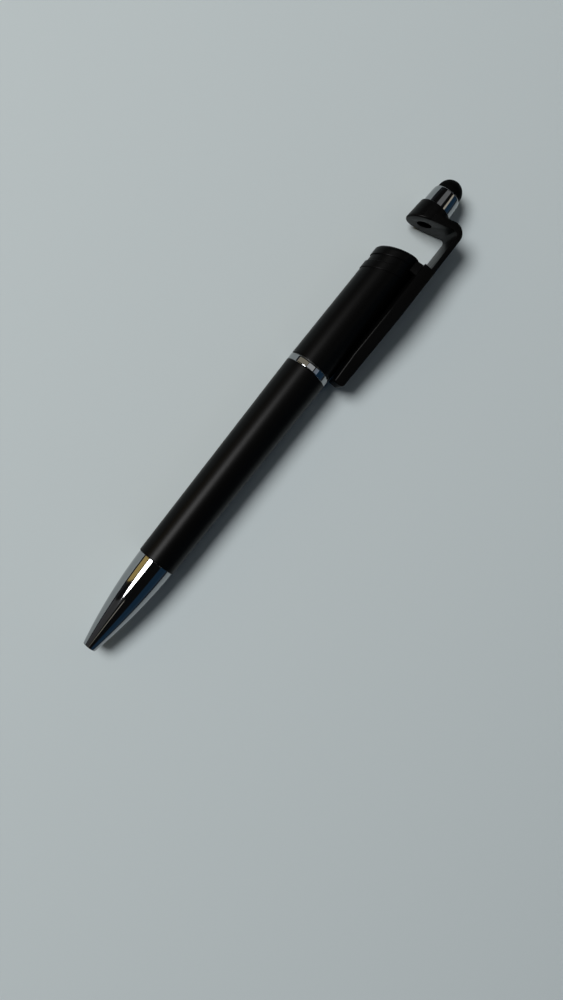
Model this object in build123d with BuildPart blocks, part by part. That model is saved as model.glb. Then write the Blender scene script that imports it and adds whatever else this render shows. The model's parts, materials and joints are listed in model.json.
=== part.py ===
"""Twist ballpoint pen with a stylus tip and a slide-out phone-stand arm, drawn as it lies on a table.

The pen's axis runs along X, with the writing end towards -X and the stylus towards +X. The pen is rolled about
that axis until its ring and the edge of its clip both touch the table at Z = 0. Sizes are in millimetres. A
station is a distance along the pen from the nose tip, and a reach is a distance from the axis towards the clip.
"""
import os
from math import asin, atan2, cos, degrees, hypot, pi, radians, sin, tan

from build123d import *

os.makedirs("parts", exist_ok=True)

# Refill, a standard size that sets the length of the pen around it
point_setback = 1.5
point_length = 12.0
point_radius = 1.15
point_cone_length = 2.6
point_grip = 4.0
ball_radius = 0.35
refill_length = 92.5
refill_radius = 1.55
refill_wall = 0.5
ink_length = 70.0
refill_travel = 4.5

# Lengths along the pen, from the nose tip to the stylus
nose_length = 28.0
refill_standout = 14.0
ring_width = 2.0
washer_thickness = 0.3
upper_barrel_length = 34.2
bead_width = 2.4
groove_width = 2.2
cap_band_height = 3.0
slot_gap = 11.0
arm_thickness = 5.1
ferrule_length = 5.5
dome_height = 4.5

# Outer radii, each worked out from the barrel's radius at the ring or from the dome's
barrel_radius = 6.2
lower_taper = 0.75
nose_step = 0.2
nose_tip_radius = 1.85
nose_swell = 0.72
ring_proud = 0.05
ring_crown = 0.06
washer_inset = 0.35
upper_taper = 0.25
bead_proud = 0.2
groove_depth = 0.15
cap_proud = 0.1
dome_radius = 3.6
ferrule_mouth_proud = 0.45
ferrule_taper = 0.25
ferrule_swell = 0.1
boss_edge = 0.5
boss_flare = 0.5

# Edge rounds
seam_round = 0.12
tip_round = 0.2
bead_round = 0.15
cap_top_round = 1.2
boss_base_round = 0.4
boss_top_round = 0.35
ferrule_mouth_round = 0.45

# Fits: pieces fixed to each other, turning or sliding fits, and end clearances
fixed_gap = 0.02
running_gap = 0.08
slide_gap = 0.12
end_gap = 0.2
seat_gap = 0.04

# Slanted phone slot between the cap and the arm, tilted from square to the axis
slot_tilt = radians(19.0)
slot_slope = tan(slot_tilt)

# Clip, as wide as the barrel at its top and narrower at its free end, whose outer side is the arm's rail
clip_tip_width = 6.0
clip_setback = 0.6
clip_gap = 0.2
clip_thickness = 3.65
clip_flare = 0.5
clip_flare_length = 9.0
clip_flare_bend = 9.0
clip_edge_round = 0.5
clip_end_round = 1.0
clip_inner_round = 0.5
clip_top_drop = 1.3
clip_end_wall = 1.8
root_width = 9.0
root_clearance = 0.3
root_drop = 1.0

# Sliding arm: wide strip with a dovetail tongue below it, stop nub, bend, and the boss that holds the stylus
arm_width = 10.4
strip_thickness = 1.35
shoulder_depth = 3.4
tongue_width = 4.8
dovetail_tilt = radians(18.0)
arm_rest_gap = 0.2
bar_thickness = 2.4
bend_outer_round = 3.2
bend_inner_round = 1.2
nub_radius = 0.9
nub_height = 0.5
nub_setback = 1.6
stylus_offset = 0.4
stem_radius = 2.0
stem_length = 3.4

# Stylus ferrule, plug and rubber dome
ferrule_wall = 0.6
ferrule_lip = 1.9
dome_wall = 0.9
dome_flange = 0.8
core_flange = 1.3

# Return spring, and the bores of the nose and of the bush that holds it
spring_wire = 0.4
spring_turns = 6
spring_seat_station = 4.6
point_hole_gap = 0.12
spring_bore_gap = 0.3
nose_core_station = 16.0
nose_wall = 1.2
spigot_length = 8.0
bush_wall = 0.66
bush_length = 10.0
bush_end_wall = 2.0
lower_wall = 1.6

# Twist mechanism: walls from the upper barrel inwards, and lengths
upper_wall = 1.2
driver_wall = 1.02
sleeve_wall = 0.92
sleeve_shank_length = 11.0
driver_tail = 7.6
retainer_thickness = 0.6
retainer_depth = 0.4
retainer_width = 1.0
retainer_opening = 60.0
sleeve_end_length = 0.7
lug_radius = 0.7
lug_behind = 2.0
lug_top_gap = 0.25
detent_relief = 0.08
refill_socket_depth = 5.0
plunger_back = 5.5
plug_clearance = 1.5
cap_wall = 1.3

# Radii that follow from these
lower_front_radius = barrel_radius - lower_taper
nose_rear_radius = lower_front_radius - nose_step
ring_radius = barrel_radius + ring_proud
washer_radius = barrel_radius - washer_inset
upper_rear_radius = barrel_radius - upper_taper
bead_radius = upper_rear_radius + bead_proud
groove_radius = upper_rear_radius - groove_depth
cap_radius = upper_rear_radius + cap_proud
clip_width = 2 * barrel_radius
clip_inner_reach = barrel_radius + clip_gap
clip_outer_reach = clip_inner_reach + clip_thickness
clip_tip_reach = clip_inner_reach + clip_flare
ferrule_mouth_radius = dome_radius + ferrule_mouth_proud
ferrule_base_radius = ferrule_mouth_radius + ferrule_taper
boss_top_radius = ferrule_base_radius + boss_edge
boss_base_radius = boss_top_radius + boss_flare

# Stations where the pieces meet
refill_start = point_setback + point_length
refill_end = refill_start + refill_length
lug_station = refill_end + lug_behind
ring_station = refill_end - refill_standout
washer_station = ring_station + ring_width
upper_station = washer_station + washer_thickness + seat_gap
upper_top_station = upper_station + upper_barrel_length
band_station = upper_top_station + groove_width
rim_station = band_station + cap_band_height
arm_station = rim_station + slot_gap
boss_top_station = arm_station + arm_thickness
ferrule_top_station = boss_top_station + ferrule_length
overall_length = ferrule_top_station + dome_height
arm_travel = slot_gap - arm_rest_gap

# Roll that lets the ring and the clip's rounded edge touch the table together
corner_reach = clip_outer_reach - clip_edge_round
corner_half = clip_width / 2 - clip_edge_round
corner_angle = atan2(corner_half, corner_reach)
roll = asin((ring_radius - clip_edge_round) / hypot(corner_reach, corner_half)) - corner_angle
clip_side_extent = corner_reach * cos(roll) + corner_half * sin(roll) + clip_edge_round

# Directions and planes of the pen as it lies, centred over the middle of the space it takes
along = Vector(1, 0, 0)
toward_clip = Vector(0, -cos(roll), -sin(roll))
across = along.cross(toward_clip)
nose_point = Vector(-overall_length / 2, (clip_side_extent - ring_radius) / 2, ring_radius)
pen_axis = Axis(nose_point, along)
side = Plane(origin=nose_point, x_dir=along, z_dir=across)
stylus_point = nose_point + toward_clip * stylus_offset
stylus_axis = Axis(stylus_point, along)
stylus_side = Plane(origin=stylus_point, x_dir=along, z_dir=across)


def section(station, origin=nose_point):
    """Plane square to the pen at a station, with X towards the clip and Y across it."""
    return Plane(origin=origin + along * station, x_dir=toward_clip, z_dir=along)


def slanted(station):
    """Plane parallel to the phone slot that crosses the pen's axis at a station, facing the stylus."""
    return Plane(
        origin=nose_point + along * station,
        x_dir=toward_clip * cos(slot_tilt) + along * sin(slot_tilt),
        z_dir=along * cos(slot_tilt) - toward_clip * sin(slot_tilt),
    )


def slant_at(station, reach):
    """Station of a slanted face at a reach, for a face that crosses the axis at a given station."""
    return station + slot_slope * reach


def slanted_disc(radius, start, end):
    """Round disc on the pen's axis between two slanted faces."""
    overrun = slot_slope * radius + end_gap
    with BuildPart() as disc:
        with BuildSketch(section(start - overrun)):
            Circle(radius)
        extrude(amount=end - start + 2 * overrun)
        split(bisect_by=slanted(start), keep=Keep.TOP)
        split(bisect_by=slanted(end), keep=Keep.BOTTOM)
    return disc.part


def round_edge(piece, station, radius, axis_point=nose_point):
    """Edge that runs round the axis of a piece at a station and radius."""
    return piece.edges().sort_by_distance(axis_point + along * station + across * radius)[0]


# Bores that several pieces share
lower_bore = barrel_radius - lower_wall
shank_radius = lower_bore - fixed_gap
upper_bore = barrel_radius - upper_wall
driver_radius = upper_bore - fixed_gap
driver_bore = driver_radius - driver_wall
journal_radius = driver_bore - running_gap
sleeve_bore = journal_radius - sleeve_wall
plunger_radius = sleeve_bore - running_gap
driver_station = upper_station + end_gap
driver_end = lug_station + driver_tail
retainer_station = driver_end + end_gap
retainer_groove_width = retainer_thickness + seat_gap
sleeve_end = retainer_station + retainer_groove_width + sleeve_end_length
retainer_groove_radius = journal_radius - retainer_depth

# Nose cone with its stepped bore and the spigot that screws into the bush
spigot_end = nose_length + spigot_length
spigot_radius = shank_radius - bush_wall - fixed_gap
spigot_bore = spigot_radius - nose_wall
point_hole_radius = point_radius + point_hole_gap
spring_radius = point_radius + point_hole_gap + spring_wire / 2
spring_bore = spring_radius + spring_wire / 2 + spring_bore_gap

with BuildPart() as nose_cone:
    with BuildSketch(side):
        with BuildLine():
            SagittaArc((0, nose_tip_radius), (nose_length, nose_rear_radius), nose_swell)
            Polyline(
                (nose_length, nose_rear_radius),
                (nose_length, spigot_radius),
                (spigot_end, spigot_radius),
                (spigot_end, 0),
                (0, 0),
                (0, nose_tip_radius),
            )
        make_face()
    revolve(axis=pen_axis)
    with BuildSketch(side):
        with BuildLine():
            Polyline(
                (0, 0),
                (0, point_hole_radius),
                (spring_seat_station, point_hole_radius),
                (spring_seat_station, spring_bore),
                (nose_core_station, spring_bore),
                (nose_core_station, spigot_bore),
                (spigot_end, spigot_bore),
                (spigot_end, 0),
                close=True,
            )
        make_face()
    revolve(axis=pen_axis, mode=Mode.SUBTRACT)
    fillet(round_edge(nose_cone, 0, nose_tip_radius), radius=tip_round)
    fillet(round_edge(nose_cone, nose_length, nose_rear_radius), radius=seam_round)

# Bush fixed in the lower barrel: the nose screws into it, and its end wall steadies the refill
bush_start = nose_length + seat_gap
bush_end = bush_start + bush_length
bush_bore = spigot_radius + fixed_gap

with BuildPart() as nose_bush:
    with BuildSketch(side):
        with BuildLine():
            Polyline(
                (bush_start, bush_bore),
                (bush_start, shank_radius),
                (bush_end, shank_radius),
                (bush_end, refill_radius + end_gap),
                (bush_end - bush_end_wall, refill_radius + end_gap),
                (bush_end - bush_end_wall, bush_bore),
                close=True,
            )
        make_face()
    revolve(axis=pen_axis)

# Lower barrel, a tapered tube
lower_start = nose_length + seat_gap

with BuildPart() as lower_barrel:
    with BuildSketch(side):
        with BuildLine():
            Polyline(
                (lower_start, lower_front_radius),
                (ring_station, barrel_radius),
                (ring_station, lower_bore),
                (lower_start, lower_bore),
                close=True,
            )
        make_face()
    revolve(axis=pen_axis)
    fillet(round_edge(lower_barrel, lower_start, lower_front_radius), radius=seam_round)
    fillet(round_edge(lower_barrel, ring_station, barrel_radius), radius=seam_round)

# Trim ring on the sleeve's shank
with BuildPart() as center_ring:
    with BuildSketch(side):
        with BuildLine():
            SagittaArc(
                (ring_station + seat_gap, ring_radius - ring_crown),
                (washer_station - seat_gap, ring_radius - ring_crown),
                ring_crown,
            )
            Polyline(
                (washer_station - seat_gap, ring_radius - ring_crown),
                (washer_station - seat_gap, lower_bore),
                (ring_station + seat_gap, lower_bore),
                (ring_station + seat_gap, ring_radius - ring_crown),
            )
        make_face()
    revolve(axis=pen_axis)
    for ring_end in (ring_station + seat_gap, washer_station - seat_gap):
        fillet(round_edge(center_ring, ring_end, ring_radius - ring_crown), radius=seam_round)

# Washer that the turning barrel bears on
with BuildPart() as thrust_washer:
    with BuildSketch(section(washer_station)):
        Circle(washer_radius)
        Circle(lower_bore, mode=Mode.SUBTRACT)
    extrude(amount=washer_thickness)

# Guide sleeve: shank in the lower barrel, journal for the driver, two straight slots open at the end
lug_slot_width = 2 * (lug_radius + slide_gap)
lug_slot_start = lug_station - refill_travel - lug_radius - slide_gap

with BuildPart() as guide_sleeve:
    with BuildSketch(side):
        with BuildLine():
            Polyline(
                (ring_station - sleeve_shank_length, sleeve_bore),
                (ring_station - sleeve_shank_length, shank_radius),
                (upper_station, shank_radius),
                (upper_station, journal_radius),
                (retainer_station, journal_radius),
                (retainer_station, retainer_groove_radius),
                (retainer_station + retainer_groove_width, retainer_groove_radius),
                (retainer_station + retainer_groove_width, journal_radius),
                (sleeve_end, journal_radius),
                (sleeve_end, sleeve_bore),
                close=True,
            )
        make_face()
    revolve(axis=pen_axis)
    with BuildSketch(section(sleeve_end)):
        Rectangle(2 * barrel_radius, lug_slot_width)
    extrude(amount=lug_slot_start - sleeve_end, mode=Mode.SUBTRACT)

# Open ring in the sleeve's groove, which holds the driver and so the upper barrel on the sleeve
with BuildPart() as retaining_ring:
    with BuildSketch(section(retainer_station + seat_gap / 2)):
        Circle(retainer_groove_radius + fixed_gap + retainer_width)
        Circle(retainer_groove_radius + fixed_gap, mode=Mode.SUBTRACT)
        with BuildLine():
            opening_arc = CenterArc((0, 0), 2 * barrel_radius, 90 - retainer_opening / 2, retainer_opening)
            Line(opening_arc @ 1, (0, 0))
            Line((0, 0), opening_arc @ 0)
        make_face(mode=Mode.SUBTRACT)
    extrude(amount=retainer_thickness)

# Driver fixed in the upper barrel: each helical slot draws one lug forward through half a turn
slot_radius = (driver_radius + driver_bore) / 2
slot_depth = driver_wall + 2 * end_gap
lug_helix = Helix(
    pitch=2 * refill_travel,
    height=refill_travel,
    radius=slot_radius,
    center=nose_point + along * (lug_station - refill_travel),
    direction=along,
)
helix_end = lug_helix @ 1 - nose_point
helix_angle = degrees(atan2(helix_end.dot(across), helix_end.dot(toward_clip)))

with BuildPart() as twist_driver:
    with BuildSketch(section(driver_station)):
        Circle(driver_radius)
        Circle(driver_bore, mode=Mode.SUBTRACT)
    extrude(amount=driver_end - driver_station)
    for lug_angle in (0, 180):
        slot_path = lug_helix.rotate(pen_axis, lug_angle - helix_angle)
        slot_start = slot_path @ 0
        outward = slot_start - nose_point
        outward = outward - along * outward.dot(along)
        with BuildSketch(Plane(origin=slot_start, x_dir=outward, z_dir=slot_path % 0)):
            Rectangle(slot_depth, lug_slot_width)
        sweep(path=slot_path, is_frenet=True, mode=Mode.SUBTRACT)
        for slot_end in (slot_path @ 0, slot_path @ 1):
            spoke = slot_end - nose_point
            spoke = spoke - along * spoke.dot(along)
            with BuildSketch(Plane(origin=slot_end, z_dir=spoke)):
                Circle(lug_slot_width / 2 + detent_relief)
            extrude(amount=slot_depth / 2, both=True, mode=Mode.SUBTRACT)

# Plunger: slides in the sleeve, with two lugs through its slots and a socket for the refill
plunger_start = refill_end - refill_socket_depth
plunger_end = refill_end + plunger_back
lug_tip_radius = driver_radius - lug_top_gap
socket_radius = refill_radius + fixed_gap

with BuildPart() as plunger:
    with BuildSketch(section(plunger_start)):
        Circle(plunger_radius)
    extrude(amount=plunger_end - plunger_start)
    with BuildSketch(Plane(origin=nose_point + along * lug_station, x_dir=along, z_dir=toward_clip)):
        Circle(lug_radius)
    extrude(amount=lug_tip_radius, both=True)
    with BuildSketch(section(plunger_start)):
        Circle(socket_radius)
    extrude(amount=refill_socket_depth + fixed_gap, mode=Mode.SUBTRACT)

# Refill: tube, ink, point and ball
refill_bore = refill_radius - refill_wall
grip_radius = refill_bore - fixed_gap
ball_station = point_setback + ball_radius
ball_socket = ball_radius + fixed_gap

with BuildPart() as refill_tube:
    with BuildSketch(section(refill_start)):
        Circle(refill_radius)
        Circle(refill_bore, mode=Mode.SUBTRACT)
    extrude(amount=refill_length)

with BuildPart() as refill_ink:
    with BuildSketch(section(refill_start + point_grip + fixed_gap)):
        Circle(refill_bore - fixed_gap)
    extrude(amount=ink_length)

with BuildPart() as refill_point:
    with BuildSketch(side):
        with BuildLine():
            Polyline(
                (ball_station, 0),
                (ball_station, ball_radius + 2 * fixed_gap),
                (point_setback + point_cone_length, point_radius),
                (refill_start, point_radius),
                (refill_start, grip_radius),
                (refill_start + point_grip, grip_radius),
                (refill_start + point_grip, 0),
                close=True,
            )
        make_face()
    revolve(axis=pen_axis)
    with BuildSketch(side):
        with Locations((ball_station, 0)):
            Circle(ball_socket)
        with Locations((ball_station, -ball_socket)):
            Rectangle(2 * ball_socket, 2 * ball_socket, mode=Mode.SUBTRACT)
    revolve(axis=pen_axis, mode=Mode.SUBTRACT)

with BuildPart() as point_ball:
    with BuildSketch(side):
        with Locations((ball_station, 0)):
            Circle(ball_radius)
        with Locations((ball_station, -ball_radius)):
            Rectangle(2 * ball_radius, 2 * ball_radius, mode=Mode.SUBTRACT)
    revolve(axis=pen_axis)

# Return spring between the step in the nose and the front of the refill tube
spring_start = spring_seat_station + spring_wire / 2 + seat_gap
spring_end = refill_start - spring_wire / 2 - seat_gap
spring_pitch = (spring_end - spring_start) / spring_turns
quarter_turns = 4 * spring_turns


def spring_place(turns):
    """Point of the spring's centre line and its direction there, a number of turns from its start."""
    angle = 2 * pi * turns
    radial = toward_clip * cos(angle) + across * sin(angle)
    forward = across * cos(angle) - toward_clip * sin(angle)
    centre = nose_point + along * (spring_start + spring_pitch * turns)
    direction = forward * 2 * pi * spring_radius + along * spring_pitch
    return centre + radial * spring_radius, direction.normalized()


with BuildPart() as refill_spring:
    with BuildLine() as spring_line:
        for quarter in range(quarter_turns):
            start, leaving = spring_place(quarter / 4)
            end, arriving = spring_place((quarter + 1) / 4)
            chord = end - start
            both_ways = leaving + arriving
            bend = 2 * (1 - leaving.dot(arriving))
            lean = chord.dot(both_ways)
            handle = ((lean**2 + bend * chord.dot(chord)) ** 0.5 - lean) / bend
            first_handle = start + leaving * handle
            second_handle = end - arriving * handle
            middle = (first_handle + second_handle) * 0.5
            TangentArc(start, middle, tangent=leaving)
            TangentArc(middle, end, tangent=second_handle - first_handle)
    with BuildSketch(Plane(origin=spring_line.line @ 0, z_dir=spring_line.line % 0)):
        Circle(spring_wire / 2)
    sweep(path=spring_line.line)

samples_per_turn = 24
spring_samples = [spring_place(i / samples_per_turn)[0] for i in range(samples_per_turn * spring_turns + 1)]
spring_gap = min(
    (spring_samples[i] - spring_samples[j]).length - spring_wire
    for i in range(len(spring_samples))
    for j in range(i + samples_per_turn // 2, len(spring_samples))
)
print(f"refill_spring: least gap between turns {spring_gap:.2f} mm")

# Upper barrel: tapered tube cut off along the slot's slant, with a bead around its top
upper_overrun = upper_top_station + slot_slope * barrel_radius + end_gap
bead = slanted_disc(bead_radius, upper_top_station - bead_width, upper_top_station)

with BuildPart() as upper_barrel:
    add(bead)
    for bead_end in (upper_top_station - bead_width, upper_top_station):
        fillet(round_edge(upper_barrel, bead_end, bead_radius), radius=bead_round)
    with BuildSketch(side):
        with BuildLine():
            Polyline(
                (upper_station, 0),
                (upper_station, barrel_radius),
                (upper_top_station, upper_rear_radius),
                (upper_top_station, 0),
                close=True,
            )
        make_face()
    revolve(axis=pen_axis)
    split(bisect_by=slanted(upper_top_station), keep=Keep.BOTTOM)
    with BuildSketch(section(upper_station)):
        Circle(upper_bore)
    extrude(amount=upper_overrun - upper_station, mode=Mode.SUBTRACT)
    fillet(round_edge(upper_barrel, upper_station, barrel_radius), radius=seam_round)

# Clip bar with a flared and narrowed free end, cut out by the channel and recess that the arm's strip slides in
clip_start = upper_station + clip_setback
clip_top = slant_at(rim_station, cap_radius) - clip_top_drop
strip_inner_reach = clip_outer_reach - strip_thickness
channel_floor = strip_inner_reach - slide_gap
channel_start = clip_start + clip_end_wall
strip_end = channel_start + end_gap + arm_travel
shoulder_station = clip_top - shoulder_depth
recess_start = shoulder_station - arm_travel - end_gap
clip_full_station = recess_start - clip_end_wall
nub_station = strip_end + nub_setback
nub_slot_start = nub_station - arm_travel - nub_radius - end_gap
nub_slot_end = nub_station + nub_radius + slide_gap


def tongue_half_width(reach):
    """Half width of the dovetail tongue at a reach."""
    return tongue_width / 2 - (reach - strip_inner_reach) * tan(dovetail_tilt)


with BuildPart() as clip_bar:
    with BuildSketch(side):
        with BuildLine():
            FilletPolyline(
                (clip_start, clip_tip_reach),
                (clip_start + clip_flare_length, clip_inner_reach),
                (clip_top, clip_inner_reach),
                (clip_top, clip_outer_reach),
                (clip_start, clip_outer_reach),
                radius=[clip_inner_round, clip_flare_bend, 0, 0, clip_end_round],
                close=True,
            )
        make_face()
    extrude(amount=clip_width / 2, both=True)
    with BuildSketch(Plane(origin=nose_point, x_dir=along, z_dir=toward_clip)):
        with BuildLine():
            Polyline(
                (clip_start, -clip_tip_width / 2),
                (clip_full_station, -clip_width / 2),
                (clip_top, -clip_width / 2),
                (clip_top, clip_width / 2),
                (clip_full_station, clip_width / 2),
                (clip_start, clip_tip_width / 2),
                close=True,
            )
        make_face()
    extrude(amount=2 * clip_outer_reach, mode=Mode.INTERSECT)
    outer_face = clip_bar.faces().sort_by(Axis((0, 0, 0), toward_clip))[-1]
    outer_edges = [edge for edge in outer_face.edges() if abs((edge % 0).dot(along)) > cos(slot_tilt)]
    fillet(outer_edges, radius=clip_edge_round)

# Plug, neck and slanted band of the cap
plug_radius = upper_bore - fixed_gap
plug_start = sleeve_end + plug_clearance
cavity_radius = plug_radius - cap_wall
cavity_end = slant_at(rim_station, -cavity_radius) - cap_wall
neck = slanted_disc(groove_radius, upper_top_station + seat_gap, band_station + end_gap)
band = slanted_disc(cap_radius, band_station, rim_station)
root_inner_reach = plug_radius - cap_wall / 2
root_start = slant_at(upper_top_station, bead_radius) + root_clearance

with BuildPart() as clip_cap:
    add(band)
    fillet(round_edge(clip_cap, rim_station, cap_radius), radius=cap_top_round)
    fillet(round_edge(clip_cap, band_station, cap_radius), radius=bead_round)
    add(neck)
    with BuildSketch(section(plug_start)):
        Circle(plug_radius)
    extrude(amount=slant_at(rim_station, -plug_radius) - cap_wall - plug_start)
    add(clip_bar.part)
    with BuildSketch(side):
        with BuildLine():
            Polyline(
                (root_start, root_inner_reach),
                (slant_at(rim_station, root_inner_reach) - root_drop, root_inner_reach),
                (clip_top, clip_inner_reach),
                (clip_top, strip_inner_reach - strip_thickness),
                (root_start, strip_inner_reach - strip_thickness),
                close=True,
            )
        make_face()
    extrude(amount=root_width / 2, both=True)
    with BuildSketch(section(plug_start)):
        Circle(cavity_radius)
    extrude(amount=cavity_end - plug_start, mode=Mode.SUBTRACT)
    with BuildSketch(section(channel_start)):
        with BuildLine():
            channel_floor_half = tongue_half_width(channel_floor) + slide_gap
            channel_mouth = clip_outer_reach + strip_thickness
            channel_mouth_half = tongue_half_width(channel_mouth) + slide_gap
            Polyline(
                (channel_floor, -channel_floor_half),
                (channel_mouth, -channel_mouth_half),
                (channel_mouth, channel_mouth_half),
                (channel_floor, channel_floor_half),
                close=True,
            )
        make_face()
    extrude(amount=clip_top + end_gap - channel_start, mode=Mode.SUBTRACT)
    with BuildSketch(side):
        with BuildLine():
            Polyline(
                (recess_start, channel_floor),
                (clip_top + end_gap, channel_floor),
                (clip_top + end_gap, channel_mouth),
                (recess_start, channel_mouth),
                close=True,
            )
        make_face()
    extrude(amount=arm_width / 2 + slide_gap, both=True, mode=Mode.SUBTRACT)
    nub_slot_plane = Plane(
        origin=nose_point + along * (nub_slot_start + nub_slot_end) / 2 + toward_clip * strip_inner_reach,
        x_dir=along,
        z_dir=-toward_clip,
    )
    with BuildSketch(nub_slot_plane):
        SlotOverall(nub_slot_end - nub_slot_start, 2 * (nub_radius + slide_gap))
    extrude(amount=nub_height + slide_gap, mode=Mode.SUBTRACT)

# Conical boss of the arm, cut off along the slot's slant
boss_low = slant_at(arm_station, stylus_offset - boss_base_radius) - end_gap

with BuildPart() as boss:
    with BuildSketch(stylus_side):
        with BuildLine():
            Polyline(
                (boss_low, 0),
                (boss_low, boss_base_radius),
                (boss_top_station, boss_top_radius),
                (boss_top_station, 0),
                close=True,
            )
        make_face()
    revolve(axis=stylus_axis)
    split(bisect_by=slanted(arm_station), keep=Keep.TOP)
    fillet(round_edge(boss, boss_top_station, boss_top_radius, stylus_point), radius=boss_top_round)
    base_station = slant_at(arm_station, stylus_offset)
    fillet(round_edge(boss, base_station, boss_base_radius, stylus_point), radius=boss_base_round)

# Arm: strip in the clip's recess with its tongue in the channel, bend, and slanted bar that carries the boss
bar_station = arm_station + bar_thickness
nub_plane = Plane(
    origin=nose_point + along * nub_station + toward_clip * strip_inner_reach, x_dir=along, z_dir=-toward_clip
)

with BuildPart() as slide_arm:
    with BuildSketch(side):
        with BuildLine():
            FilletPolyline(
                (strip_end, clip_outer_reach),
                (slant_at(bar_station, clip_outer_reach), clip_outer_reach),
                (slant_at(bar_station, stylus_offset), stylus_offset),
                (slant_at(arm_station, stylus_offset), stylus_offset),
                (slant_at(arm_station, strip_inner_reach), strip_inner_reach),
                (strip_end, strip_inner_reach),
                radius=[0, bend_outer_round, 0, 0, bend_inner_round, 0],
                close=True,
            )
        make_face()
    extrude(amount=arm_width / 2, both=True)
    for hand in (-1, 1):
        with BuildSketch(section(strip_end)):
            with BuildLine():
                wedge_top = clip_outer_reach + strip_thickness
                Polyline(
                    (strip_inner_reach, hand * tongue_half_width(strip_inner_reach)),
                    (wedge_top, hand * tongue_half_width(wedge_top)),
                    (wedge_top, hand * clip_width / 2),
                    (strip_inner_reach, hand * clip_width / 2),
                    close=True,
                )
            make_face()
        extrude(amount=shoulder_station - strip_end, mode=Mode.SUBTRACT)
    add(boss.part)
    with BuildSketch(section(boss_low, stylus_point)):
        Circle(stem_radius)
    extrude(amount=boss_top_station - boss_low, mode=Mode.SUBTRACT)
    with BuildSketch(nub_plane):
        Circle(nub_radius)
    extrude(amount=nub_height)

# Ferrule: chrome shell with a lip that holds the dome's flange
ferrule_bore = ferrule_base_radius - ferrule_wall
lip_station = ferrule_top_station - ferrule_lip
lip_radius = ferrule_mouth_radius - ferrule_wall

with BuildPart() as stylus_ferrule:
    with BuildSketch(stylus_side):
        with BuildLine():
            SagittaArc(
                (boss_top_station, ferrule_base_radius),
                (ferrule_top_station, ferrule_mouth_radius),
                ferrule_swell,
            )
            Polyline(
                (ferrule_top_station, ferrule_mouth_radius),
                (ferrule_top_station, lip_radius),
                (lip_station, lip_radius),
                (lip_station, ferrule_bore),
                (boss_top_station, ferrule_bore),
                (boss_top_station, ferrule_base_radius),
            )
        make_face()
    revolve(axis=stylus_axis)
    mouth_edge = round_edge(stylus_ferrule, ferrule_top_station, ferrule_mouth_radius, stylus_point)
    fillet(mouth_edge, radius=ferrule_mouth_round)

# Rubber dome with a neck through the ferrule's mouth and a flange behind its lip
neck_radius = lip_radius - fixed_gap
dome_bore = dome_radius - dome_wall
flange_start = lip_station - fixed_gap - dome_flange
dome_straight = dome_height - dome_radius
dome_crown = ferrule_top_station + dome_straight

with BuildPart() as stylus_tip:
    with BuildSketch(stylus_side):
        with BuildLine():
            Polyline(
                (flange_start, 0),
                (flange_start, ferrule_bore - fixed_gap),
                (lip_station - fixed_gap, ferrule_bore - fixed_gap),
                (lip_station - fixed_gap, neck_radius),
                (ferrule_top_station + fixed_gap, neck_radius),
                (ferrule_top_station + fixed_gap, dome_radius),
                (dome_crown, dome_radius),
            )
            RadiusArc((dome_crown, dome_radius), (overall_length, 0), dome_radius)
            Line((overall_length, 0), (flange_start, 0))
        make_face()
    revolve(axis=stylus_axis)
    with BuildSketch(stylus_side):
        with BuildLine():
            Polyline((dome_crown, 0), (flange_start, 0), (flange_start, dome_bore), (dome_crown, dome_bore))
            RadiusArc((dome_crown, dome_bore), (dome_crown + dome_bore, 0), dome_bore)
            Line((dome_crown + dome_bore, 0), (dome_crown, 0))
        make_face()
    revolve(axis=stylus_axis, mode=Mode.SUBTRACT)

# Plug that carries the dome, with a stem pressed into the boss
core_radius = ferrule_bore - fixed_gap
core_post_radius = dome_bore - fixed_gap

with BuildPart() as stylus_core:
    with BuildSketch(stylus_side):
        with BuildLine():
            Polyline(
                (boss_top_station - stem_length, 0),
                (boss_top_station - stem_length, stem_radius - fixed_gap),
                (boss_top_station + fixed_gap, stem_radius - fixed_gap),
                (boss_top_station + fixed_gap, core_radius),
                (boss_top_station + fixed_gap + core_flange, core_radius),
                (boss_top_station + fixed_gap + core_flange, core_post_radius),
                (ferrule_top_station, core_post_radius),
                (ferrule_top_station, 0),
                close=True,
            )
        make_face()
    revolve(axis=stylus_axis)

pieces = {
    "nose_cone": nose_cone,
    "nose_bush": nose_bush,
    "lower_barrel": lower_barrel,
    "center_ring": center_ring,
    "thrust_washer": thrust_washer,
    "guide_sleeve": guide_sleeve,
    "retaining_ring": retaining_ring,
    "twist_driver": twist_driver,
    "plunger": plunger,
    "refill_tube": refill_tube,
    "refill_ink": refill_ink,
    "refill_point": refill_point,
    "point_ball": point_ball,
    "refill_spring": refill_spring,
    "upper_barrel": upper_barrel,
    "clip_cap": clip_cap,
    "slide_arm": slide_arm,
    "stylus_ferrule": stylus_ferrule,
    "stylus_tip": stylus_tip,
    "stylus_core": stylus_core,
}
for name, piece in pieces.items():
    piece.part.label = name
    export_step(piece.part, f"parts/{name}.step")
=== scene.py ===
"""Twist ballpoint pen with a stylus and a slide-out phone-stand arm, dressed for rendering.

The pen lies on a pale table with its arm pulled out. Its places come from the loaded frame: the nose tip, the
pen's axis and the direction of its clip. Sizes are in millimetres, a station is a distance along the pen from
the nose tip, and a reach is a distance from the axis towards the clip.
"""

import json
import logging
from dataclasses import dataclass
from enum import Enum
from math import asin, cos, pi, radians, sin, sqrt, tan
from typing import Any

import bmesh
import bpy
from mathutils import Matrix, Vector


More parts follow.
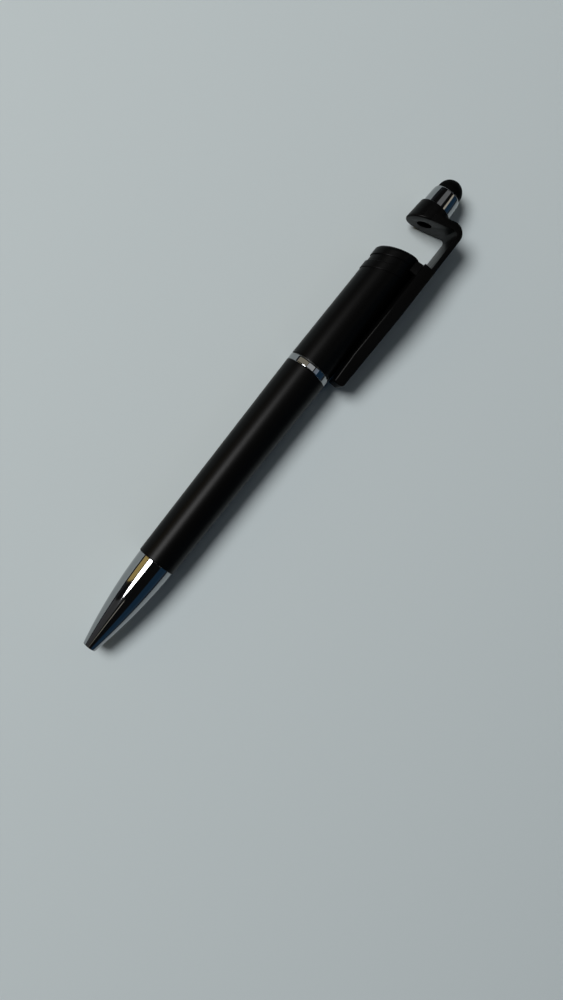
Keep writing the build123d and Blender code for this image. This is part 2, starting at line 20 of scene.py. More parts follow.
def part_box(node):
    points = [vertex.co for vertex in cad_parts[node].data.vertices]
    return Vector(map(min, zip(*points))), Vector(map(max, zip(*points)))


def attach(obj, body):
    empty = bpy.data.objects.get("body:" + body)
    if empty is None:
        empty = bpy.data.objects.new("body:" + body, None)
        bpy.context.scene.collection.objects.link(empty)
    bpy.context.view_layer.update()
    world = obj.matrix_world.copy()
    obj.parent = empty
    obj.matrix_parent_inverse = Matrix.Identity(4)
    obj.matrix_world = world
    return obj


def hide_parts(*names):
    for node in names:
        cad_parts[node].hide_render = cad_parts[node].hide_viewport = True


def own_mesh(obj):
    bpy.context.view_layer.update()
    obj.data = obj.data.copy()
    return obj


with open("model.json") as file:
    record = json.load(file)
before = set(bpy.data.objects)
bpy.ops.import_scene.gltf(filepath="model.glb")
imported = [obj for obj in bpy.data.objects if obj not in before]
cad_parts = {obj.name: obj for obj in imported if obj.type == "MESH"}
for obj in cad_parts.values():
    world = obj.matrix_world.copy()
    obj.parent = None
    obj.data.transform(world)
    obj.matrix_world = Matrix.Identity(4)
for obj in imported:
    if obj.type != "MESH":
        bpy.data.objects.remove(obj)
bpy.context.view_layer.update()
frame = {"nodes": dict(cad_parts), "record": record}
LOG = logging.getLogger("pen")
MM = 0.001
# A ring of a smaller radius than this, in millimetres, is one point on the axis
ON_AXIS_RADIUS = 1e-6
# The sRGB curve: the end of its straight start, the slope there, and the offset and power of the rest
SRGB_KNEE = 0.04045
SRGB_SLOPE = 12.92
SRGB_OFFSET = 0.055
SRGB_POWER = 2.4
BYTE_MAX = 255
# Blender's band wave goes through this many radians in one unit of its scaled place
WAVE_RADIANS_PER_UNIT = 20
# Sockets of Blender's mix node in its colour form, which share their names with those of its other forms
MIX_FACTOR = 0
MIX_FIRST = 6
MIX_SECOND = 7
MIX_RESULT = 2


class Body(Enum):
    """Bodies of the pen that pieces ride on."""

    LOWER = "lower"
    UPPER = "upper"
    ARM = "arm"


class Wave(Enum):
    """Patterns that a finish can carry."""

    PLAIN = "plain"
    GRAIN = "grain"
    TURNED = "turned"


class Outline(Enum):
    """Outlines of a soft light, by Blender's names."""

    RECTANGLE = "RECTANGLE"
    OVAL = "ELLIPSE"


def linear_colour(code: str) -> tuple[float, float, float, float]:
    """Turn an sRGB hex colour into linear values.

    Args:
        code: Six hex digits, red first.

    Returns:
        Red, green, blue and an alpha of one.
    """
    values = []
    for start in (0, 2, 4):
        value = int(code[start:start + 2], 16) / BYTE_MAX
        if value <= SRGB_KNEE:
            values.append(value / SRGB_SLOPE)
        else:
            values.append(((value + SRGB_OFFSET) / (1 + SRGB_OFFSET)) ** SRGB_POWER)
    return (*values, 1.0)


def add_node(tree: bpy.types.NodeTree, kind: str, settings: dict[str, Any] | None = None,
             inputs: dict[str | int, Any] | None = None) -> bpy.types.Node:
    """Add a node with its settings, and with a value or a link for each named input.

    Args:
        tree: Node tree that gets the node.
        kind: Blender's name for the node's type.
        settings: Attributes of the node.
        inputs: Values or output sockets, by the name or number of the input.

    Returns:
        The new node.
    """
    node = tree.nodes.new(kind)
    for name, value in (settings or {}).items():
        setattr(node, name, value)
    for name, value in (inputs or {}).items():
        if isinstance(value, bpy.types.NodeSocket):
            tree.links.new(value, node.inputs[name])
        else:
            node.inputs[name].default_value = value
    return node


@dataclass(frozen=True)
class Finish:
    """Surface of a real material, as one Principled shader with an optional pattern."""

    slot: str
    name: str
    colour: str
    roughness: float
    metallic: float = 0.0
    ior: float = 1.5
    transmission: float = 0.0
    wave: Wave = Wave.PLAIN
    spacing_mm: float = 0.3
    depth_mm: float = 0.002
    roughness_swing: float = 0.0
    grain_detail: float = 2.0
    ring_wobble: float = 0.4
    bump_strength: float = 1.0

    def material(self) -> bpy.types.Material:
        """Build the material, or give the one that was built before.

        Returns:
            The material, named for the finish.
        """
        known = bpy.data.materials.get(self.name)
        if known:
            return known
        made = bpy.data.materials.new(self.name)
        made.use_nodes = True
        tree = made.node_tree
        tree.nodes.clear()
        shader = add_node(tree, "ShaderNodeBsdfPrincipled", inputs={
            "Base Color": linear_colour(self.colour),
            "Roughness": self.roughness,
            "Metallic": self.metallic,
            "IOR": self.ior,
            "Transmission Weight": self.transmission,
        })
        add_node(tree, "ShaderNodeOutputMaterial", inputs={"Surface": shader.outputs["BSDF"]})
        if self.wave is not Wave.PLAIN:
            self.add_pattern(tree, shader)
        return made

    def add_pattern(self, tree: bpy.types.NodeTree, shader: bpy.types.Node) -> None:
        """Add the grain or the turning rings to the shader's bump and roughness.

        Args:
            tree: The material's tree.
            shader: Its Principled shader.
        """
        place = add_node(tree, "ShaderNodeTexCoord")
        cycles_per_metre = 1 / (self.spacing_mm * MM)
        if self.wave is Wave.GRAIN:
            pattern = add_node(tree, "ShaderNodeTexNoise", inputs={
                "Vector": place.outputs["Object"],
                "Scale": cycles_per_metre,
                "Detail": self.grain_detail,
            })
        else:
            pattern = add_node(tree, "ShaderNodeTexWave", {"wave_type": "BANDS", "bands_direction": "X"}, {
                "Vector": place.outputs["Object"],
                "Scale": cycles_per_metre * 2 * pi / WAVE_RADIANS_PER_UNIT,
                "Distortion": self.ring_wobble,
            })
        height = pattern.outputs["Fac"]
        bump = add_node(tree, "ShaderNodeBump", inputs={
            "Strength": self.bump_strength,
            "Distance": self.depth_mm * MM,
            "Height": height,
        })
        tree.links.new(bump.outputs["Normal"], shader.inputs["Normal"])
        if self.roughness_swing:
            swing = add_node(tree, "ShaderNodeMapRange", inputs={
                "Value": height,
                "To Min": self.roughness - self.roughness_swing,
                "To Max": self.roughness + self.roughness_swing,
            })
            tree.links.new(swing.outputs["Result"], shader.inputs["Roughness"])


# Bright chrome plate on moulded plastic: a hard mirror that shows the table, the softbox and the dark room
CHROME = Finish("chrome_plate", "chrome on moulded plastic", "9A9C9E", roughness=0.05, metallic=1.0)
# Moulded ABS with a satin skin: near black, with one soft streak of light and faint pale edges from the
# table. The real texture is far under a tenth of a millimetre, so it is drawn coarser to show at all
BLACK_ABS = Finish("satin_black_abs", "moulded black ABS", "060606", roughness=0.34, ior=1.18,
                   wave=Wave.GRAIN, spacing_mm=0.35, depth_mm=0.0006, roughness_swing=0.03)
# Carbon-filled silicone rubber: a dull black dome with a wide weak highlight
RUBBER = Finish("conductive_rubber", "carbon-filled silicone", "040404", roughness=0.6, ior=1.1,
                wave=Wave.GRAIN, spacing_mm=0.25, depth_mm=0.002)
# Moulded acetal, black in the washer and the stylus core, white in the works: waxy and slightly shiny
BLACK_ACETAL = Finish("black_acetal", "moulded black acetal", "101011", roughness=0.38, ior=1.48)
WHITE_ACETAL = Finish("white_acetal", "moulded white acetal", "E9E6DF", roughness=0.4, ior=1.48)
# Turned brass: fine rings left by the tool, drawn coarser than the real feed to show
BRASS = Finish("turned_brass", "free-turning brass", "CFA964", roughness=0.24, metallic=1.0,
               wave=Wave.TURNED, spacing_mm=0.25, depth_mm=0.004)
# Drawn spring wire: grey steel with a soft sheen
STEEL = Finish("spring_steel", "drawn spring steel", "B9BBBD", roughness=0.28, metallic=1.0)
# Natural polypropylene tube: cloudy and see-through
CLEAR_PP = Finish("clear_polypropylene", "natural polypropylene", "E6E8E4", roughness=0.32, ior=1.49,
                  transmission=0.7)
# Ink paste seen through the tube: dark blue and wet
INK = Finish("ink", "blue ink paste", "0B1240", roughness=0.2, ior=1.4)

FINISH_OF_SLOT = {finish.slot: finish for finish in (
    CHROME, BLACK_ABS, RUBBER, BLACK_ACETAL, WHITE_ACETAL, BRASS, STEEL, CLEAR_PP, INK)}


@dataclass(frozen=True)
class Pen:
    """Place of the pen in the frame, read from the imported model."""

    nose: Vector
    toward_clip: Vector
    slope: float

    @classmethod
    def from_frame(cls, slot_tilt_deg: float) -> "Pen":
        """Read the pen's axis from the ring's box and its clip's direction from the mount on the clip.

        Args:
            slot_tilt_deg: Slant of the phone slot from square to the axis.

        Returns:
            The pen's place.
        """
        ring_low, ring_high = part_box("center_ring")
        tip_low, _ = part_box("nose_cone")
        stand = next(m for m in frame["record"]["mounts"] if m["name"] == "stand_face")
        centre = (Vector(ring_low) + Vector(ring_high)) / 2
        nose = Vector((tip_low[0], centre.y, centre.z))
        return cls(nose, Vector(stand["axis"]).normalized(), tan(radians(slot_tilt_deg)))

    def station(self, x: float) -> float:
        """Station in millimetres of a place along X in metres."""
        return (x - self.nose.x) / MM

    def point(self, station: float, reach: float, sideways: float) -> Vector:
        """Find a point of the pen.

        Args:
            station: Distance along the pen from the nose tip.
            reach: Distance from the axis towards the clip.
            sideways: Distance across the clip.

        Returns:
            The point, in metres.
        """
        along = Vector((station * MM, 0, 0))
        across = Vector((1, 0, 0)).cross(self.toward_clip)
        return self.nose + along + self.toward_clip * reach * MM + across * sideways * MM


@dataclass(frozen=True)
class Turn:
    """Point of a turned outline. On a slanted one, the station is that of its ring's middle."""

    station: float
    radius: float
    slanted: bool = False


def arc_turns(first: Turn, last: Turn, bulge: float, steps: int) -> list[Turn]:
    """Points of a shallow arc between two points of an outline, bulging away from the axis.

    Args:
        first: Start of the arc.
        last: End of the arc.
        bulge: Height of the arc over its chord.
        steps: Number of pieces to divide it into.

    Returns:
        The points, with both ends.
    """
    run, rise = last.station - first.station, last.radius - first.radius
    chord = sqrt(run * run + rise * rise)
    radius = (chord * chord / 4 + bulge * bulge) / (2 * bulge)
    half_angle = asin(chord / 2 / radius)
    turns = []
    for step in range(steps + 1):
        angle = half_angle * (2 * step / steps - 1)
        along = chord / 2 + radius * sin(angle)
        out = radius * cos(angle) - (radius - bulge)
        turns.append(Turn(first.station + (run * along - rise * out) / chord,
                          first.radius + (rise * along + run * out) / chord, first.slanted))
    return turns


def corner_turns(station: float, radius: float, size: float, from_front: bool, slanted: bool = False,
                 steps: int = 5) -> list[Turn]:
    """Points of a quarter round on an outer corner of an outline.

    Args:
        station: Station of the corner.
        radius: Radius of the corner.
        size: Radius of the round.
        from_front: True where the face before the corner is square to the axis, as on a front end.
        slanted: True on a slanted piece.
        steps: Number of pieces to divide the round into.

    Returns:
        The points in order of travel along the outline.
    """
    inward = 1 if from_front else -1
    turns = []
    for step in range(steps + 1):
        angle = pi / 2 * step / steps
        along = station + inward * size * (1 - sin(angle))
        turns.append(Turn(along, radius - size * (1 - cos(angle)), slanted))
    return turns[::-1] if from_front else turns


def supported(outline: list[Turn], margin: float = 0.15, long_run: float = 1.0) -> list[Turn]:
    """Add a point near each end of every long run, so that smooth shading bends only beside the corners.

    Args:
        outline: Points of an outline.
        margin: Distance of an added point from its end.
        long_run: Length from which a run gets the added points.

    Returns:
        The points with those added.
    """
    turns = outline[:1]
    for first, last in zip(outline, outline[1:]):
        run, rise = last.station - first.station, last.radius - first.radius
        length = sqrt(run * run + rise * rise)
        if length > long_run:
            share = margin / length
            turns.append(Turn(first.station + run * share, first.radius + rise * share, first.slanted))
            turns.append(Turn(last.station - run * share, last.radius - rise * share, last.slanted))
        turns.append(last)
    return turns


def turned_mesh(name: str, pen: Pen, outline: list[Turn], closed: bool, offset: float = 0.0,
                segments: int = 160) -> bpy.types.Object:
    """Spin an outline about the pen's axis.

    Args:
        name: Name of the object.
        pen: Place of the pen.
        outline: Points of the outline, from the front.
        closed: True where the outline is a loop, False where it starts and ends on the axis.
        offset: Reach of the axis that it is turned about.
        segments: Number of pieces around the axis.

    Returns:
        The object, at the origin.
    """
    mesh = bmesh.new()
    rings = []
    for turn in supported(outline):
        if turn.radius < ON_AXIS_RADIUS:
            rings.append([mesh.verts.new(pen.point(turn.station, offset, 0))])
            continue
        ring = []
        for index in range(segments):
            angle = 2 * pi * index / segments
            reach = turn.radius * cos(angle)
            station = turn.station + (pen.slope * reach if turn.slanted else 0)
            ring.append(mesh.verts.new(pen.point(station, offset + reach, turn.radius * sin(angle))))
        rings.append(ring)
    pairs = list(zip(rings, rings[1:]))
    if closed:
        pairs.append((rings[-1], rings[0]))
    for first, second in pairs:
        for index in range(segments):
            following = (index + 1) % segments
            corners = [first[index % len(first)], first[following % len(first)],
                       second[following % len(second)], second[index % len(second)]]
            unique = list(dict.fromkeys(corners))
            if len(unique) > 2:
                mesh.faces.new(unique)
    bmesh.ops.recalc_face_normals(mesh, faces=mesh.faces)
    return finished_object(name, mesh)


def linked_object(name: str, data: bpy.types.ID) -> bpy.types.Object:
    """Make an object and link it to the scene.

    Args:
        name: Name of the object.
        data: Its mesh, light or camera.

    Returns:
        The object.
    """
    made = bpy.data.objects.new(name, data)
    bpy.context.scene.collection.objects.link(made)
    return made


def finished_object(name: str, mesh: bmesh.types.BMesh, sharp_deg: float = 32.0) -> bpy.types.Object:
    """Make an object of a mesh, smooth except over sharp edges.

    Args:
        name: Name of the object and its data.
        mesh: The mesh, which is freed.
        sharp_deg: Angle over which an edge stays sharp.

    Returns:
        The object, linked to the scene.
    """
    data = bpy.data.meshes.new(name)
    mesh.to_mesh(data)
    mesh.free()
    data.shade_smooth()
    data.set_sharp_from_angle(angle=radians(sharp_deg))
    return linked_object(name, data)


def dress(piece: bpy.types.Object, finish: Finish, body: Body, *nodes: str) -> bpy.types.Object:
    """Give a piece its finish and body, and let it stand for CAD nodes.

    Args:
        piece: The object.
        finish: Its surface.
        body: Body that it moves with.
        nodes: Nodes that it replaces.

    Returns:
        The same object.
    """
    piece.data.materials.clear()
    piece.data.materials.append(finish.material())
    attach(piece, body.value)
    if nodes:
        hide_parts(*nodes)
    LOG.info("%s: %d faces, %s", piece.name, len(piece.data.polygons), finish.name)
    return piece


def bevelled_copy(name: str, node: str, width_mm: float, segments: int = 3, sharp_deg: float = 40.0,
                  merge_mm: float = 0.002, flat_deg: float = 0.6) -> bpy.types.Object:
    """Copy a node's mesh, merge it, and round its sharp edges.

    Args:
        name: Name of the new object.
        node: Node whose mesh is copied.
        width_mm: Width of the rounds.
        segments: Number of pieces across a round.
        sharp_deg: Angle over which an edge is rounded.
        merge_mm: Distance under which points are merged.
        flat_deg: Angle under which faces are joined into one.

    Returns:
        The new object, with its modifier applied.
    """
    mesh = bmesh.new()
    mesh.from_mesh(frame["nodes"][node].data)
    bmesh.ops.remove_doubles(mesh, verts=mesh.verts, dist=merge_mm * MM)
    bmesh.ops.dissolve_limit(mesh, angle_limit=radians(flat_deg), verts=mesh.verts, edges=mesh.edges)
    rough = finished_object(name + "_rough", mesh, sharp_deg)
    bevel = rough.modifiers.new("edge_round", "BEVEL")
    bevel.width = width_mm * MM
    bevel.segments = segments
    bevel.limit_method = "ANGLE"
    bevel.angle_limit = radians(sharp_deg)
    bevel.use_clamp_overlap = True
    bevel.miter_outer = "MITER_ARC"
    evaluated = rough.evaluated_get(bpy.context.evaluated_depsgraph_get())
    data = bpy.data.meshes.new_from_object(evaluated)
    data.name = name
    data.shade_smooth()
    data.set_sharp_from_angle(angle=radians(sharp_deg))
    bpy.data.objects.remove(rough)
    return linked_object(name, data)


@dataclass
class NoseCone:
    """Chrome ogive nose with the hole for the point."""

    pen: Pen
    tip_radius: float = 1.85
    tip_round: float = 0.2
    step_radius: float = 5.25
    swell: float = 0.72
    seam: float = 0.12
    hole_radius: float = 1.27
    spring_bore: float = 1.97
    spring_seat: float = 4.6
    bore_step: float = 16.0
    rear_bore: float = 2.7
    joint_gap: float = 0.04
    tip_ease: float = 0.1
    arc_steps: int = 48

    def build(self) -> bpy.types.Object:
        """Turn the shell up to the joint with the barrel and dress it.

        Returns:
            The dressed shell.
        """
        length = self.pen.station(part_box("lower_barrel")[0][0]) - self.joint_gap
        start = Turn(0, self.tip_radius)
        end = Turn(length, self.step_radius)
        curve = arc_turns(start, end, self.swell, self.arc_steps)
        tip = corner_turns(0, curve[1].radius - self.tip_ease, self.tip_round, True)
        outline = [Turn(0, self.hole_radius), *tip]
        outline += [turn for turn in curve if self.tip_round < turn.station < length - self.seam]
        outline += corner_turns(length, self.step_radius, self.seam, False)
        outline += [Turn(length, self.rear_bore), Turn(self.bore_step, self.rear_bore),
                    Turn(self.bore_step, self.spring_bore), Turn(self.spring_seat, self.spring_bore),
                    Turn(self.spring_seat, self.hole_radius)]
        cone = turned_mesh("nose_cone_shell", self.pen, outline, True)
        return dress(cone, CHROME, Body.LOWER, "nose_cone")


@dataclass
class LowerBarrel:
    """Black grip tube between the nose and the ring."""

    pen: Pen
    taper: float = 0.75
    wall: float = 1.6
    seam: float = 0.12

    def build(self) -> bpy.types.Object:
        """Turn the tube between the ends of its node and dress it.

        Returns:
            The dressed tube.
        """
        low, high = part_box("lower_barrel")
        front, rear = self.pen.station(low[0]), self.pen.station(high[0])
        radius = (high[1] - low[1]) / 2 / MM
        bore = radius - self.wall
        outline = [Turn(front, bore), *corner_turns(front, radius - self.taper, self.seam, True)]
        outline += [*corner_turns(rear, radius, self.seam, False), Turn(rear, bore)]
        tube = turned_mesh("lower_barrel_tube", self.pen, outline, True)
        return dress(tube, BLACK_ABS, Body.LOWER, "lower_barrel")


@dataclass
class CenterRing:
    """Chrome trim ring at the middle of the pen."""

    pen: Pen
    crown: float = 0.004
    seam: float = 0.12
    bore: float = 4.6
    arc_steps: int = 8

    def build(self) -> bpy.types.Object:
        """Turn the crowned ring between the ends of its node and dress it.

        Returns:
            The dressed ring.
        """
        low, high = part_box("center_ring")
        front, rear = self.pen.station(low[0]), self.pen.station(high[0])
        edge = (high[1] - low[1]) / 2 / MM - self.crown
        first, last = Turn(front + self.seam, edge), Turn(rear - self.seam, edge)
        crown = arc_turns(first, last, self.crown, self.arc_steps)
        outline = [Turn(front, self.bore), *corner_turns(front, edge, self.seam, True)[:-1], *crown]
        outline += [*corner_turns(rear, edge, self.seam, False)[1:], Turn(rear, self.bore)]
        band = turned_mesh("center_ring_band", self.pen, outline, True)
        return dress(band, CHROME, Body.LOWER, "center_ring")


@dataclass
class UpperBarrel:
    """Black tube that is turned, with a slanted bead around its top."""

    pen: Pen
    rear_radius: float = 5.95
    bead_proud: float = 0.2
    bead_width: float = 2.4
    bead_round: float = 0.15
    bead_foot: float = 0.02
    seam: float = 0.12
    wall: float = 1.2

    def top_station(self) -> float:
        """Station of the slanted top where it crosses the axis."""
        high = self.pen.station(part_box("upper_barrel")[1][0])
        return high - self.pen.slope * (self.rear_radius + self.bead_proud - self.bead_round / 2)

    def build(self) -> bpy.types.Object:
        """Turn the tube and its bead and dress them.

        Returns:
            The dressed tube.
        """
        low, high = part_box("upper_barrel")
        front = self.pen.station(low[0])
        radius = (high[1] - low[1]) / 2 / MM
        bore = radius - self.wall
        top = self.top_station()
        bead = self.rear_radius + self.bead_proud
        outline = [Turn(front, bore), *corner_turns(front, radius, self.seam, True)]
        outline.append(Turn(top - self.bead_width, self.rear_radius + self.bead_foot, True))
        outline += corner_turns(top - self.bead_width, bead, self.bead_round, True, True)
        outline += corner_turns(top, bead, self.bead_round, False, True)
        outline.append(Turn(top, bore, True))
        tube = turned_mesh("upper_barrel_tube", self.pen, outline, True)
        return dress(tube, BLACK_ABS, Body.UPPER, "upper_barrel")


@dataclass
class ClipCap:
    """Slanted cap on the upper barrel, and the clip that carries the arm's rail."""

    pen: Pen
    top: float
    neck_radius: float = 5.8
    band_radius: float = 6.05
    groove_width: float = 2.2
    band_height: float = 3.0
    rim_round: float = 1.2
    rim_steps: int = 12
    lower_round: float = 0.15
    joint_gap: float = 0.05
    skin: float = 0.01
    clip_edge: float = 0.06

    def build(self) -> list[bpy.types.Object]:
        """Turn the cap's outside, round the clip's edges, and dress both.

        Returns:
            The cap's skin and the clip.
        """
        foot = self.top + self.joint_gap
        band = self.top + self.groove_width
        rim = band + self.band_height + self.skin
        neck = self.neck_radius + self.skin
        radius = self.band_radius + self.skin
        outline = [Turn(foot, 0, True), Turn(foot, neck, True), Turn(band, neck, True)]
        outline += corner_turns(band, radius, self.lower_round, True, True)
        outline += corner_turns(rim, radius, self.rim_round, False, True, self.rim_steps)
        outline.append(Turn(rim, 0, True))
        skin = turned_mesh("cap_slanted_top", self.pen, outline, False)
        clip = bevelled_copy("pocket_clip", "clip_cap", self.clip_edge)
        dress(skin, BLACK_ABS, Body.UPPER)
        dress(clip, BLACK_ABS, Body.UPPER, "clip_cap")
        return [skin, clip]


@dataclass
class SlideArm:
    """Arm that slides in the clip, with the stylus on its boss."""

    pen: Pen
    edge: float = 0.12
    axis_reach: float = 0.4
    mouth_radius: float = 4.05
    base_radius: float = 4.3
    swell: float = 0.1
    mouth_round: float = 0.45
    wall: float = 0.6
    lip_depth: float = 1.9
    dome_radius: float = 3.6
    neck_depth: float = 1.0
    shoulder: float = 0.08
    fit: float = 0.02
    arc_steps: int = 24

    def build(self) -> list[bpy.types.Object]:
        """Round the arm's edges and dress the arm and its stylus.

        Returns:
            The arm, the ferrule and the dome.
        """
        low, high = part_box("stylus_ferrule")
        base, mouth = self.pen.station(low[0]), self.pen.station(high[0])
        arm = bevelled_copy("stand_arm", "slide_arm", self.edge)
        dress(arm, BLACK_ABS, Body.ARM, "slide_arm")
        return [arm, self.ferrule(base, mouth), self.dome(mouth)]

    def ferrule(self, base: float, mouth: float) -> bpy.types.Object:
        """Turn the chrome shell with its lip.

        Args:
            base: Station of its end on the boss.
            mouth: Station of its end at the dome.

        Returns:
            The dressed shell.
        """
        bore = self.base_radius - self.wall
        lip = self.mouth_radius - self.wall
        first, last = Turn(base, self.base_radius), Turn(mouth, self.mouth_radius)
        curve = arc_turns(first, last, self.swell, self.arc_steps)
        outline = [Turn(base, bore)]
        outline += [turn for turn in curve if turn.station < mouth - self.mouth_round]
        outline += corner_turns(mouth, self.mouth_radius + self.fit, self.mouth_round, False)
        outline += [Turn(mouth, lip), Turn(mouth - self.lip_depth, lip), Turn(mouth - self.lip_depth, bore)]
        shell = turned_mesh("stylus_ferrule_shell", self.pen, outline, True, self.axis_reach)
        return dress(shell, CHROME, Body.ARM, "stylus_ferrule")

    def dome(self, mouth: float) -> bpy.types.Object:
        """Turn the rubber dome with its neck in the ferrule's mouth.

        Args:
            mouth: Station of the ferrule's mouth.

        Returns:
            The dressed dome.
        """
        neck = self.mouth_radius - self.wall - self.fit
        inner, seat = mouth - self.neck_depth, mouth + self.fit
        crown = self.pen.station(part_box("stylus_tip")[1][0]) - self.dome_radius
        outline = [Turn(inner, 0), Turn(inner, neck), Turn(seat, neck),
                   Turn(seat, self.dome_radius - self.shoulder),
                   Turn(seat + self.shoulder, self.dome_radius)]
        for step in range(self.arc_steps + 1):
            angle = pi / 2 * step / self.arc_steps
            outline.append(Turn(crown + self.dome_radius * sin(angle), self.dome_radius * cos(angle)))
        dome = turned_mesh("stylus_dome", self.pen, outline, False, self.axis_reach)
        return dress(dome, RUBBER, Body.ARM, "stylus_tip")


@dataclass
class ReturnSpring:
    """Coil in the nose that pushes the refill back, made by Geometry Nodes."""

    pen: Pen
    turns: int = 6
    wire: float = 0.4
    coil_radius: float = 1.47
    travel: float = 4.5
    seat: float = 4.6
    steps_per_turn: int = 28
    wire_sides: int = 12

    def tree(self) -> bpy.types.NodeTree:
        """Build the node tree of the coil.

        Returns:
            A geometry tree with inputs for its length, turns, radius, wire and material.
        """
        group = bpy.data.node_groups.new("coil", "GeometryNodeTree")
        for name, kind in (("Length", "NodeSocketFloat"), ("Turns", "NodeSocketFloat"),
                           ("Coil Radius", "NodeSocketFloat"), ("Wire Radius", "NodeSocketFloat"),
                           ("Material", "NodeSocketMaterial")):
            group.interface.new_socket(name, in_out="INPUT", socket_type=kind)
        group.interface.new_socket("Geometry", in_out="OUTPUT", socket_type="NodeSocketGeometry")
        given = add_node(group, "NodeGroupInput")
        spiral = add_node(group, "GeometryNodeCurveSpiral", inputs={
            "Resolution": self.steps_per_turn,
            "Rotations": given.outputs["Turns"],
            "Start Radius": given.outputs["Coil Radius"],
            "End Radius": given.outputs["Coil Radius"],
            "Height": given.outputs["Length"],
        })
        circle = add_node(group, "GeometryNodeCurvePrimitiveCircle", inputs={
            "Resolution": self.wire_sides, "Radius": given.outputs["Wire Radius"]})
        wire = add_node(group, "GeometryNodeCurveToMesh", inputs={
            "Curve": spiral.outputs["Curve"], "Profile Curve": circle.outputs["Curve"], "Fill Caps": True})
        laid = add_node(group, "GeometryNodeTransform", inputs={
            "Geometry": wire.outputs["Mesh"], "Rotation": (0.0, pi / 2, 0.0)})
        real = add_node(group, "GeometryNodeRealizeInstances", inputs={"Geometry": laid.outputs["Geometry"]})
        painted = add_node(group, "GeometryNodeSetMaterial", inputs={
            "Geometry": real.outputs["Geometry"], "Material": given.outputs["Material"]})
        add_node(group, "NodeGroupOutput", inputs={"Geometry": painted.outputs["Geometry"]})
        return group

    def build(self) -> bpy.types.Object:
        """Coil the wire between its seats and dress it.

        Returns:
            The dressed spring.
        """
        low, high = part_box("refill_spring")
        start, end = low[0] + self.wire / 2 * MM, high[0] - self.wire / 2 * MM
        holder = linked_object("coil_rough", bpy.data.meshes.new("coil_rough"))
        modifier = holder.modifiers.new("coil", "NODES")
        modifier.node_group = self.tree()
        values = {"Length": end - start, "Turns": float(self.turns), "Coil Radius": self.coil_radius * MM,
                  "Wire Radius": self.wire / 2 * MM, "Material": STEEL.material()}
        for item in modifier.node_group.interface.items_tree:
            if item.in_out == "INPUT":
                modifier[item.identifier] = values[item.name]
        evaluated = holder.evaluated_get(bpy.context.evaluated_depsgraph_get())
        data = bpy.data.meshes.new_from_object(evaluated)
        holder.modifiers.remove(modifier)
        bpy.data.objects.remove(holder)
        data.transform(Matrix.Translation((start, self.pen.nose.y, self.pen.nose.z)))
        data.name = "return_spring"
        data.shade_smooth()
        spring = dress(linked_object("return_spring", data), STEEL, Body.LOWER, "refill_spring")
        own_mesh(spring)
        return spring


@dataclass
class Workings:
    """Inner pieces that keep their CAD meshes and get their real finishes."""

    nodes: tuple[str, ...] = (
        "nose_bush", "thrust_washer", "guide_sleeve", "retaining_ring", "twist_driver", "plunger",
        "refill_tube", "refill_ink", "refill_point", "point_ball", "stylus_core",
    )

    def dress(self) -> None:
        """Give each inner node the finish of its material slot."""
        slots = {part["node"]: part["material_slot"] for part in frame["record"]["subparts"]}
        for name in self.nodes:
            node = frame["nodes"][name]
            node.data.materials.clear()
            node.data.materials.append(FINISH_OF_SLOT[slots[name]].material())
            LOG.info("%s: %s", name, slots[name])


@dataclass(frozen=True)
class Panel:
    """Flat soft light over the table, which leans from the vertical towards +Y and faces the pen's line."""

    name: str
    lean_deg: float
    along_m: float
    size_m: tuple[float, float]
    watts: float
    colour: str = "FFFFFF"
    distance_m: float = 0.9
    outline: Outline = Outline.RECTANGLE

    def build(self) -> bpy.types.Object:
        """Hang the light.

        Returns:
            The light's object.
        """
        data = bpy.data.lights.new(self.name, "AREA")
        data.energy = self.watts
        data.color = linear_colour(self.colour)[:3]
        data.shape = self.outline.value
        data.size, data.size_y = self.size_m
        light = linked_object(self.name, data)
        lean = radians(self.lean_deg)
        light.location = (self.along_m, sin(lean) * self.distance_m, cos(lean) * self.distance_m)
        light.rotation_euler = (-lean, 0, 0)
        return light


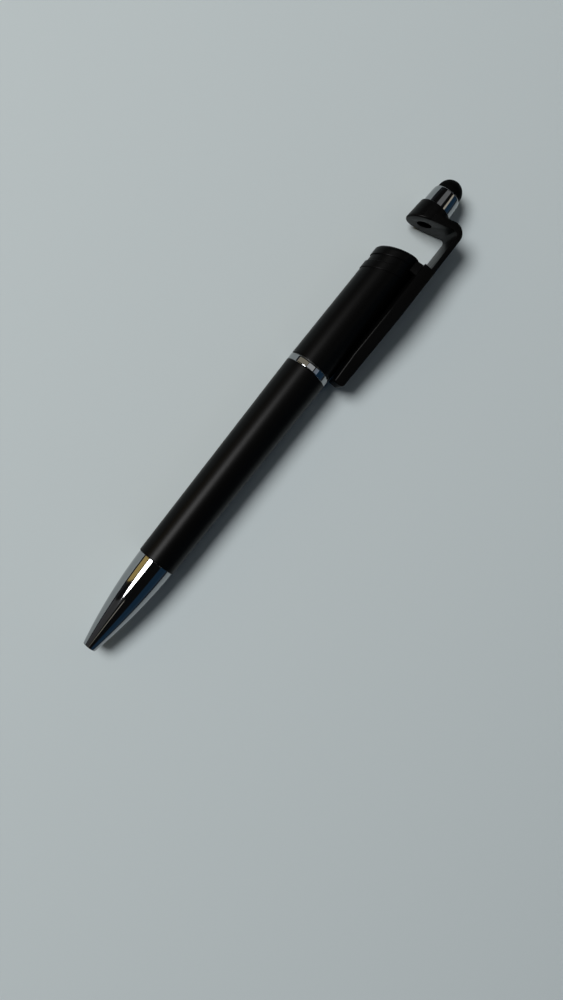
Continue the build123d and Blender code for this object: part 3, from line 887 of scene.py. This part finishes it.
@dataclass
class Studio:
    """Table, lights and camera, as in the photograph."""

    # The softbox lights the scene and casts the shadow. The others are weak, and are there to be seen in the
    # chrome: four in the nose and along the pen, three in the ring, and two in the ferrule
    panels: tuple[Panel, ...] = (
        Panel("softbox", lean_deg=36.0, along_m=-0.19, size_m=(0.9, 0.72), watts=24.4, distance_m=1.8,
              outline=Outline.OVAL),
        Panel("warm_card", lean_deg=66.0, along_m=-0.12, size_m=(0.28, 0.44), watts=0.34, colour="E8C878"),
        Panel("grey_wall", lean_deg=54.0, along_m=-0.72, size_m=(0.7, 0.9), watts=0.14),
        Panel("pale_edge", lean_deg=14.0, along_m=-0.7, size_m=(0.66, 0.08), watts=0.08, colour="FFF6E6"),
        Panel("blue_card", lean_deg=-57.0, along_m=0.1, size_m=(1.8, 0.76), watts=0.55, colour="4A94CC"),
        Panel("beige_card", lean_deg=52.0, along_m=0.21, size_m=(0.1, 0.96), watts=0.17, colour="DACFB8"),
        Panel("overhead_card", lean_deg=4.0, along_m=0.21, size_m=(0.07, 0.6), watts=0.09),
        Panel("cool_card", lean_deg=-30.0, along_m=0.21, size_m=(0.09, 0.3), watts=0.045, colour="C8D4E4",
              distance_m=0.85),
        Panel("dim_wing", lean_deg=15.0, along_m=0.66, size_m=(0.46, 0.56), watts=0.2),
        Panel("far_strip", lean_deg=-32.0, along_m=0.64, size_m=(0.46, 0.2), watts=0.21, colour="FFF2D8",
              distance_m=0.85),
    )
    table_colour: str = "D3DDDF"
    table_roughness: float = 0.75
    table_shine: float = 0.2
    table_size_m: float = 6.0
    horizon_colour: str = "34373B"
    zenith_colour: str = "181818"
    horizon_rise: float = 0.5
    camera_mm: tuple[float, float, float] = (-38.57, 32.33, 241.65)
    aim_mm: tuple[float, float, float] = (-17.95, -15.57, 0.0)
    up_heading_deg: float = 38.76
    focal_px: float = 894.1
    frame_height_px: float = 1000.0
    sensor_mm: float = 36.0
    near_m: float = 0.01

    def build(self) -> None:
        """Set the table, the room, the lights and the camera."""
        self.table()
        self.room()
        for panel in self.panels:
            panel.build()
        self.camera()
        bpy.context.scene.view_settings.view_transform = "Standard"

    def table(self) -> None:
        """Lay a large plain table under the pen."""
        mesh = bmesh.new()
        bmesh.ops.create_grid(mesh, x_segments=1, y_segments=1, size=self.table_size_m / 2)
        table = finished_object("table", mesh)
        paint = bpy.data.materials.new("painted_table")
        paint.use_nodes = True
        shader = paint.node_tree.nodes["Principled BSDF"]
        shader.inputs["Base Color"].default_value = linear_colour(self.table_colour)
        shader.inputs["Roughness"].default_value = self.table_roughness
        shader.inputs["Specular IOR Level"].default_value = self.table_shine
        table.data.materials.append(paint)

    def room(self) -> None:
        """Give the room a grey horizon and a dark ceiling, which the chrome shows."""
        world = bpy.data.worlds.new("room")
        world.use_nodes = True
        tree = world.node_tree
        tree.nodes.clear()
        place = add_node(tree, "ShaderNodeTexCoord")
        parts = add_node(tree, "ShaderNodeSeparateXYZ", inputs={"Vector": place.outputs["Generated"]})
        rise = add_node(tree, "ShaderNodeMapRange", {"interpolation_type": "SMOOTHSTEP"}, {
            "Value": parts.outputs["Z"], "From Max": self.horizon_rise})
        mixed = add_node(tree, "ShaderNodeMix", {"data_type": "RGBA"}, {
            MIX_FACTOR: rise.outputs["Result"],
            MIX_FIRST: linear_colour(self.horizon_colour),
            MIX_SECOND: linear_colour(self.zenith_colour),
        })
        light = add_node(tree, "ShaderNodeBackground", inputs={"Color": mixed.outputs[MIX_RESULT]})
        add_node(tree, "ShaderNodeOutputWorld", inputs={"Surface": light.outputs["Background"]})
        bpy.context.scene.world = world

    def camera(self) -> None:
        """Place the camera where the photograph was taken from."""
        data = bpy.data.cameras.new("camera")
        data.sensor_width = self.sensor_mm
        data.lens = self.sensor_mm * self.focal_px / self.frame_height_px
        data.clip_start = self.near_m
        camera = linked_object("camera", data)
        place, aim = Vector(self.camera_mm) * MM, Vector(self.aim_mm) * MM
        back = (place - aim).normalized()
        heading = radians(self.up_heading_deg)
        right = Vector((cos(heading), sin(heading), 0)).cross(back).normalized()
        up = back.cross(right)
        camera.matrix_world = Matrix.Translation(place) @ Matrix((right, up, back)).transposed().to_4x4()
        bpy.context.scene.camera = camera


def main() -> None:
    """Build and dress every piece of the pen, then the studio."""
    logging.basicConfig(level=logging.INFO, format="%(name)s: %(message)s")
    pen = Pen.from_frame(slot_tilt_deg=19.0)
    upper = UpperBarrel(pen)
    NoseCone(pen).build()
    LowerBarrel(pen).build()
    CenterRing(pen).build()
    upper.build()
    ClipCap(pen, upper.top_station()).build()
    SlideArm(pen).build()
    ReturnSpring(pen).build()
    Workings().dress()
    Studio().build()


if __name__ == "__main__":
    main()
